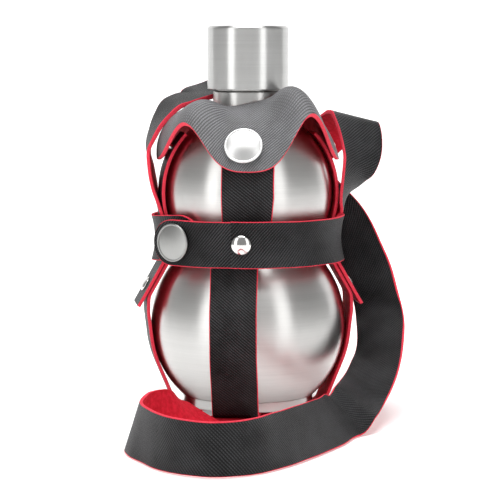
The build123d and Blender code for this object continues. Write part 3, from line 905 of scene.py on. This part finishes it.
def collar_point(turn, share, lift):
    """Point of the collar's inner face, lifted off it, from the hole at 0 to the edge at 1."""
    across = radians(turn)
    calm = 1 - (1 - back_calm_share) * (1 - cos(across)) / 2
    corner = sin(2 * across) ** 2
    lean = ((1 + sin(across)) / 2) ** 2
    hole_z = hole_height + hole_rise * lean
    tip_z = tab_tip_height + side_tab_raise * sin(across) ** 2
    edge_z = tip_z + corner_raise * corner * calm + corner_tilt * sin(across) * corner
    seat = collar_seat + lift
    first = acos(hole_radius / seat)
    last = asin(min(1.0, (tip_z - upper_z) / seat))
    angle = first + (last - first) * share
    raise_z = hole_z + lift - upper_z - seat * sin(first)
    height = upper_z + seat * sin(angle) + raise_z * (1 - share) ** 2
    tab = (seat * cos(angle), height)
    arch = corner_arch * (1 + lean) * 4 * share * (1 - share)
    wide = hole_radius + (collar_edge_radius + lift - hole_radius) * share
    flared = (wide, hole_z + lift + (edge_z - hole_z) * share + arch)
    mix = corner * calm
    radius = tab[0] + (flared[0] - tab[0]) * mix
    height = tab[1] + (flared[1] - tab[1]) * mix
    swell = shoulder_swell(across, share)
    far = hypot(radius, height - upper_z)
    radius, height = radius * (1 + swell / far), height + swell * (height - upper_z) / far
    return Vector((radius * sin(across), -radius * cos(across), height))


def collar_section(steps=22):
    """(share, lift) round the collar's section, with rounded corners at the hole and the edge."""
    soft, turn_in, turn_down = 0.008, 0.1, 0.34
    corner = soft * 0.3
    spread = [soft, *np.linspace(2 * soft, 1 - 2.2 * soft, steps), 1 - soft]
    made = [(s, leather) for s in spread]
    fall = [(corner, leather - turn_in), (0.0, leather - turn_down), (0.0, turn_down), (corner, turn_in)]
    made += [(1 - s, lift) for s, lift in fall]
    made += [(s, 0.0) for s in spread[::-1]]
    return made + fall[::-1]


def make_collar():
    rings, hides, area = [], [], 0.0
    for k in range(collar_steps):
        turn = 360.0 * k / collar_steps
        a = radians(turn)
        top = collar_point(turn, 0, leather)
        ring, hide = [], []
        for share, lift in collar_section():
            p = collar_point(turn, share, lift)
            ragged = wander(turn * edge_per_degree, collar_seed, cut_drift) * (share if share > 0.5 else 0.0)
            p = p + Vector((0, 0, ragged))
            ring.append(p)
            flat = hole_radius + (p - top).length
            on_rim = share > collar_rim_share and lift > leather - collar_rim_drop
            depth = rim_depth if on_rim else leather - lift
            hide.append((flat * cos(a), flat * sin(a), depth))
        reach = (collar_point(turn, 1, 0) - top).length
        area += ((hole_radius + reach) ** 2 - hole_radius**2) * pi / collar_steps
        rings.append(ring)
        hides.append(hide)
    collar = skin("collar_leather", rings, hides, loop=True)
    # The collar takes the leather copy with the painted top light.
    collar.data.materials[0] = collar_top_lit_finish
    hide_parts("collar", "collar_tab")
    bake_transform(collar)


# Carrying strap. Each row has the strap's middle, x, y and z, and the direction across the strap.
# A height of None lays the row's lower edge on the table.

over_left = [
    (-50.5, -3, 121, 0.02, 0.99, 0), (-52.8, -1, 134, 0.02, 0.99, 0.03),
    (-53.8, 0.8, 145, -0.08, 0.98, 0.12), (-50.2, 1.8, 155, -0.12, 0.98, 0.15),
    (-45.6, 4, 162.2, -0.18, 0.96, 0.17), (-41.1, 7, 167.2, -0.2, 0.95, 0.19),
    (-35.2, 10.8, 170.1, -0.14, 0.94, 0.18), (-28, 15.8, 172.2, -0.1, 0.93, 0.13),
    (-21.6, 25.8, 174.1, -0.09, 0.91, 0.18), (-12.2, 34.5, 175.8, -0.13, 0.86, 0.3),
    (-2, 41.5, 176, -0.1, 0.65, 0.7),
]
behind = [
    (10, 51, 168, 0, 0.32, 0.94), (19, 52, 152, 0.35, 0.1, 0.93),
    (26, 55, 137, 0.7, 0, 0.71), (33, 53.5, 123, 0.87, -0.05, 0.48),
    (43, 48, 112, 0.9, -0.2, 0.38), (53, 40, 101.6, 0.93, -0.25, 0.27),
    (58, 34.5, 93.8, 0.93, -0.3, 0.2), (63.4, 28, 82.2, 0.92, -0.37, 0.12),
    (68.4, 21.5, 70.2, 0.9, -0.42, 0.08), (72.3, 14.3, 54, 0.88, -0.46, 0.02),
    (73, -1, 43, 0.87, -0.49, -0.02), (71.6, -10, 34.6, 0.87, -0.48, 0.02),
    (68.2, -23, 27, 0.85, -0.5, -0.18), (64, -36, 21, 0.84, -0.44, -0.25),
    (59.3, -51, 17, 0.84, -0.37, -0.41), (54.9, -69, 15, 0.74, -0.28, -0.62),
]
front_run = [
    (47.8, -81, None, 0.62, -0.14, -0.78), (41, -102, None, 0.53, -0.14, -0.84),
    (33.4, -121.5, None, 0.43, -0.12, -0.9), (25.5, -139.2, None, 0.33, -0.12, -0.94),
    (15, -159, None, 0.22, -0.1, -0.96), (3.5, -175.5, None, 0.06, -0.02, -1),
    (-7, -183, None, -0.01, 0.07, -1), (-16.5, -185, None, 0.01, 0.09, -0.99),
    (-25.4, -181.5, None, 0.02, 0.08, -1), (-34, -175.5, None, 0.02, 0.03, -1),
    (-42.5, -164, None, -0.04, 0, -1), (-49.5, -148, None, -0.09, -0.02, -1),
    (-55, -131.2, None, -0.24, -0.03, -0.97), (-56.2, -116, None, -0.3, 0.03, -0.95),
]
under = [
    (-52.5, -104.5, None, -0.18, 0.08, -0.98), (-44.5, -95.5, None, 0.12, -0.02, -0.99),
    (-34.8, -84.5, None, 0.48, -0.16, -0.86), (-26.5, -69, None, 0.77, -0.24, -0.58),
    (-19, -55, None, 0.87, -0.34, -0.37), (-13.4, -47, None, 0.93, -0.34, -0.03),
    (-8, -36.5, None, 0.95, -0.3, 0), (-2.5, -23, None, 0.98, -0.15, 0),
    (0, -11, None, 1, 0, 0), (1, 4, None, 1, 0, 0),
    (2, 20, None, 1, 0, 0), (3, 36, None, 1, 0, 0),
    (4, 49, None, 1, 0, 0),
]
back_run = [
    (5, 60, 3, 1, 0, 0), (5.5, 68, 10, 1, 0, 0),
    (6, 71.5, 21, 1, 0, 0), (8, 72.5, 38, 1, 0, 0),
    (10.5, 72, 58, 1, 0, -0.03), (13.5, 70.5, 79, 1, 0, -0.08),
    (18, 68.5, 100, 0.98, 0.05, -0.15), (24, 67, 120, 0.96, 0.1, -0.2),
    (33.5, 63.5, 137, 0.93, 0.15, -0.25), (47, 55, 150, 0.92, 0.18, -0.25),
]
curl = [
    (54, 42.5, 156.2, 0.88, 0.15, -0.28), (57.2, 30, 159.2, 0.92, 0.1, -0.24),
    (59.5, 19.5, 158.3, 0.93, 0.15, -0.23), (61.3, 12.5, 152.2, 0.9, 0.35, -0.2),
    (61.9, 7.8, 144.5, 0.82, 0.52, -0.14), (61, 4.5, 137.5, 0.72, 0.66, -0.12),
    (58.8, 2.2, 131, 0.58, 0.79, -0.12), (56.2, 2, 124.5, 0.4, 0.91, -0.1),
    (53.2, 3.2, 117.5, 0.15, 0.98, -0.05), (51.2, 5, 111, -0.04, 0.99, 0),
]


def carry_end(side):
    """Rows of one end of the strap, from its riveted tip up under the belt."""
    low = (side_belly[0] + end_tip_flare, end_tip_height)
    top, _ = top_run(waist)
    share = (belt_width / 2) / (top[0][1] - waist_height)
    above = (waist_radius + (top[0][0] - waist_radius) * share, waist_height + belt_width / 2)
    before = (low[0] + end_tip_flare, 2 * low[1] - side_fall[1])
    path = [before, low, side_fall, side_tuck, waist, above, top[0]]
    a = radians(side_turn)
    line = rounded(beside(path, 1.5 * leather + seat_gap + free_play), [wide_bend] * 3, 2.5)
    east, north = cos(a), sin(a)
    return [(side * p.x * east, side * p.x * north, p.y, -north, east, 0) for p in line]


def through(values, knots, places):
    """Smooth curve through the values at their knots, read at each place."""
    values, knots = np.array(values, float), np.array(knots, float)
    slopes = np.diff(values, axis=0) / np.diff(knots)[:, None]
    tangents = np.empty_like(values)
    tangents[0], tangents[-1] = slopes[0], slopes[-1]
    before, after = np.diff(knots)[:-1, None], np.diff(knots)[1:, None]
    tangents[1:-1] = (slopes[:-1] * after + slopes[1:] * before) / (before + after)
    k = np.clip(np.searchsorted(knots, places, "right") - 1, 0, len(knots) - 2)
    gap = (knots[k + 1] - knots[k])[:, None]
    t = ((places - knots[k])[:, None]) / gap
    curve = (2 * t**3 - 3 * t**2 + 1) * values[k] + (t**3 - 2 * t**2 + t) * gap * tangents[k]
    return curve + (3 * t**2 - 2 * t**3) * values[k + 1] + (t**3 - t**2) * gap * tangents[k + 1]


def heading_at(points, k):
    """Direction of a line at one of its points."""
    before, after = neighbours(points, k)
    return Vector(after - before).normalized()


def squared(across, heading):
    """The direction across, made square to the heading, and the direction out of the face."""
    across = Vector(across)
    across = (across - heading * across.dot(heading)).normalized()
    return across, heading.cross(across).normalized()


def resting(across, out):
    """Height of the strap's middle where its lower edge is on the table."""
    return abs(across.z) * carry_width / 2 + abs(out.z) * leather / 2


def carry_line():
    """Places along the strap: distances, middles, directions across and shares on the table."""
    rows = carry_end(-1) + over_left + behind + front_run + under + back_run + curl
    rows += carry_end(1)[::-1]
    middles = [Vector((x, y, z or leather / 2)) for x, y, z, *_ in rows]
    on_table = [[1.0 if row[2] is None else 0.0] for row in rows]
    for k, row in enumerate(rows):
        if row[2] is None:
            middles[k].z = resting(*squared(row[3:], heading_at(middles, k)))
    knots = [0.0]
    for before, after in zip(middles, middles[1:]):
        knots.append(knots[-1] + (after - before).length)
    places = np.linspace(0, knots[-1], int(knots[-1] / carry_step))
    sides = [row[3:] for row in rows]
    return [places] + [through(values, knots, places) for values in (middles, sides, on_table)]


def make_carry_strap():
    places, line, sides, table = carry_line()
    stations, bulk = [], []
    for k, place in enumerate(places):
        across, out = squared(sides[k], heading_at(line, k))
        middle, rest, lies = Vector(line[k]), resting(across, out), clamped(table[k, 0])
        middle.z = max(middle.z * (1 - lies) + rest * lies, rest)
        stations.append((middle - out * leather / 2, out, across))
        inner = clamped((min(place, places[-1] - place) - plump_from) / plump_over)
        bulk.append(plump_leather * inner * max(0.0, 1.0 - table[k, 0]))
    piece, length = ribbon("carrying_strap", stations, carry_width - carry_trim, 6, bulk)
    on_body(piece, FLASK, "leather", "carry_strap")
    length * MM
    return length


# Snaps and rivets. Local Z points outward and starts at the outer face of the outer leather.


def facing(point, out):
    """Place in metres whose Z axis points outward and whose Y axis is as upright as it can be."""
    up = Vector((0, 0, 1))
    side = up.cross(out).normalized()
    top = out.cross(side)
    place = Matrix((side, top, out)).transposed().to_4x4()
    place.translation = Vector(point) * MM
    return place


def on_bulb(turn, angle, distance):
    """Point over the upper bulb at a turn from the front, and the direction outward there."""
    a, b = radians(turn), radians(angle)
    out = Vector((cos(b) * sin(a), -cos(b) * cos(a), sin(b)))
    return Vector((0, 0, upper_z)) + out * distance, out


def dome(spread, rise, foot, reach, steps):
    """Outline of a domed top, from its middle outward."""
    ball = (spread**2 + rise**2) / (2 * rise)
    line = arc((0, foot + rise - ball), ball, 90, degrees(acos(reach / ball)), steps)
    return [(0, line[0][1])] + line[1:]


def snap_button(name, stand, radius, rise, place, finish, body, node):
    """Snap cap: a domed face inside a rolled rim, and its post through the leather."""
    rim, post = 1.0, 1.6
    line = dome(radius - rim, rise, stand + rim * 0.75, radius - rim * 1.1, 14)
    line += arc((radius - rim * 0.62, stand + rim * 0.55), rim * 0.62, 130, -80, 9)
    line += [(radius - 1.6, stand + 0.05), (post, stand + 0.05), (post, -leather - 0.2), (0, -leather - 0.2)]
    on_body(turned(name, line, finish, 96, place), body, "nickel", node)


def rivet_head(name, radius, stand, depth, rise, place):
    """Rivet: a domed head with a small rim, and its shank to the inner leather's back."""
    shank = 1.35
    line = dome(radius, rise, stand + 0.55, radius - 0.25, 12)
    line += arc((radius - 0.3, stand + 0.35), 0.3, 60, -90, 5)
    line += [(shank, stand + 0.05), (shank, -depth + 0.1), (0, -depth + 0.1)]
    return turned(name, line, bright_nickel, 72, place)


def along_end(side):
    """Where the rivet stands on the outer face of a strap end below the belt."""
    fall, tuck = Vector(side_fall), Vector(side_tuck)
    run = (tuck - fall).normalized()
    normal = Vector((run.y, -run.x))
    spot = fall + run * end_rivet_place + normal * (2 * layer + free_play)
    a = radians(side_turn)
    flat = Vector((side * cos(a), side * sin(a), 0))
    return flat * spot.x + Vector((0, 0, spot.y)), flat * normal.x + Vector((0, 0, normal.y))


def joined_as(name, pieces):
    """One object made of several, as a group of fasteners that share a node."""
    finish = pieces[0].data.materials[0]
    points, faces = [], []
    for piece in pieces:
        start = len(points)
        points += [piece.matrix_world @ v.co for v in piece.data.vertices]
        faces += [[start + v for v in p.vertices] for p in piece.data.polygons]
    for piece in pieces:
        bpy.data.objects.remove(piece)
    made = new_piece(name, points, faces, finish, 35.0)
    outward(made)
    return made


def make_snaps():
    place = facing(*on_bulb(upper_snap_turn, front_snap_angle, collar_seat + leather))
    snap_button("collar_snap_button", *collar_snap, place, satin_nickel, "collar_tab_flap", "tab_snap_cap")
    middle, _ = round_belt(belt_snap_angle, flap_radius(belt_snap_angle), belt_height)
    _, out = round_belt(flap_straight_angle, 0.0, belt_height)
    place = facing(middle + out * leather, out)
    snap_button("belt_snap_button", *belt_snap, place, brushed_nickel, "belt_end_flap", "belt_snap_cap")


def make_rivets():
    place = facing(*round_belt(belt_rivet_angle, belt_radius + leather, belt_height))
    on_body(rivet_head("belt_rivet_head", *belt_rivet, place), FLASK, "nickel", "belt_rivet")
    ends = [rivet_head("end", *end_rivet, facing(*along_end(side))) for side in (-1, 1)]
    on_body(joined_as("strap_end_rivet_heads", ends), FLASK, "nickel", "end_rivets")
    turns = (side_turn + 90, side_turn - 90, back_turn)
    places = [facing(*on_bulb(t, collar_rivet_angle, collar_seat + leather)) for t in turns]
    tabs = [rivet_head("tab", *collar_rivet, p) for p in places]
    on_body(joined_as("collar_tab_rivet_heads", tabs), FLASK, "nickel", "collar_rivets")


def plate_hidden_parts():
    """Gives the snaps' sockets and studs and the rivets' burrs the bright plating."""
    for node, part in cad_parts.items():
        if node.endswith(hidden_parts):
            part.data.materials.clear()
            part.data.materials.append(bright_nickel)


# Studio. Each soft box has its place, its aim and its size in metres, and its power in watts.
# The lens is measured in pixels of the picture, and the sensor in millimetres.

room_strength = 0.30
soft_boxes = {
    "left_box": ((-0.85, -0.75, 0.45), (0, 0, 0.12), (0.40, 1.5), 3.4),
    "right_box": ((0.80, -0.85, 0.45), (0, 0, 0.12), (0.36, 1.5), 2.8),
    "top_box": ((0.0, -0.15, 1.30), (0, 0, 0.1), (0.9, 0.9), 17.0),
}
camera_place = (0.0, -1.162, 0.205)
camera_tilt = 5.74
picture_side, focal_length, sideways_shift = 500.0, 2136.0, 2.0
sensor = 36.0


def make_sweep():
    """Pale paper that lies under the flask and curves up behind it."""
    wide, front, back, high, bend = 4.0, -2.6, 2.2, 3.2, 1.0
    line = [(front, 0.0), (0.0, 0.0), *arc((back - bend, bend), bend, -90, 0, 12), (back, high)]
    below_table = 0.0002
    points = [(x, y, z - below_table) for y, z in line for x in (-wide, wide)]
    faces = [(2 * k, 2 * k + 1, 2 * k + 3, 2 * k + 2) for k in range(len(line) - 1)]
    sweep = new_piece("studio_sweep", points, faces, floor_finish, 60.0)


def softbox(name, place, aim, size, power):
    light = bpy.data.lights.new(name, "AREA")
    light.shape = "RECTANGLE"
    light.size, light.size_y = size
    light.energy = power
    lamp = placed(name, light)
    lamp.location = place
    lamp.rotation_euler = (Vector(aim) - Vector(place)).to_track_quat("-Z", "Y").to_euler()


def make_studio():
    make_sweep()
    bpy.context.scene.view_settings.view_transform = "Standard"
    world = bpy.data.worlds.new("studio_room")
    bpy.context.scene.world = world
    world.use_nodes = True
    shade = world.node_tree.nodes["Background"]
    shade.inputs["Color"].default_value = grey(1.0)
    shade.inputs["Strength"].default_value = room_strength
    for name, values in soft_boxes.items():
        softbox(name, *values)


def make_camera():
    lens = bpy.data.cameras.new("photo_camera")
    lens.sensor_width = sensor
    lens.lens = focal_length / picture_side * sensor
    lens.shift_x = sideways_shift / picture_side
    lens.clip_start, lens.clip_end = 0.05, 50.0
    camera = placed("photo_camera", lens)
    camera.location = camera_place
    camera.rotation_euler = (radians(90.0 - camera_tilt), 0.0, 0.0)
    bpy.context.scene.camera = camera


make_flask()
make_neck()
make_cap()
make_side_strap()
make_long_strap()
make_front_strap()
make_belt()
make_belt_flap()
make_collar()
strap_length = make_carry_strap()
make_snaps()
make_rivets()
plate_hidden_parts()
make_studio()
make_camera()

print("carrying strap", round(strap_length), "mm")
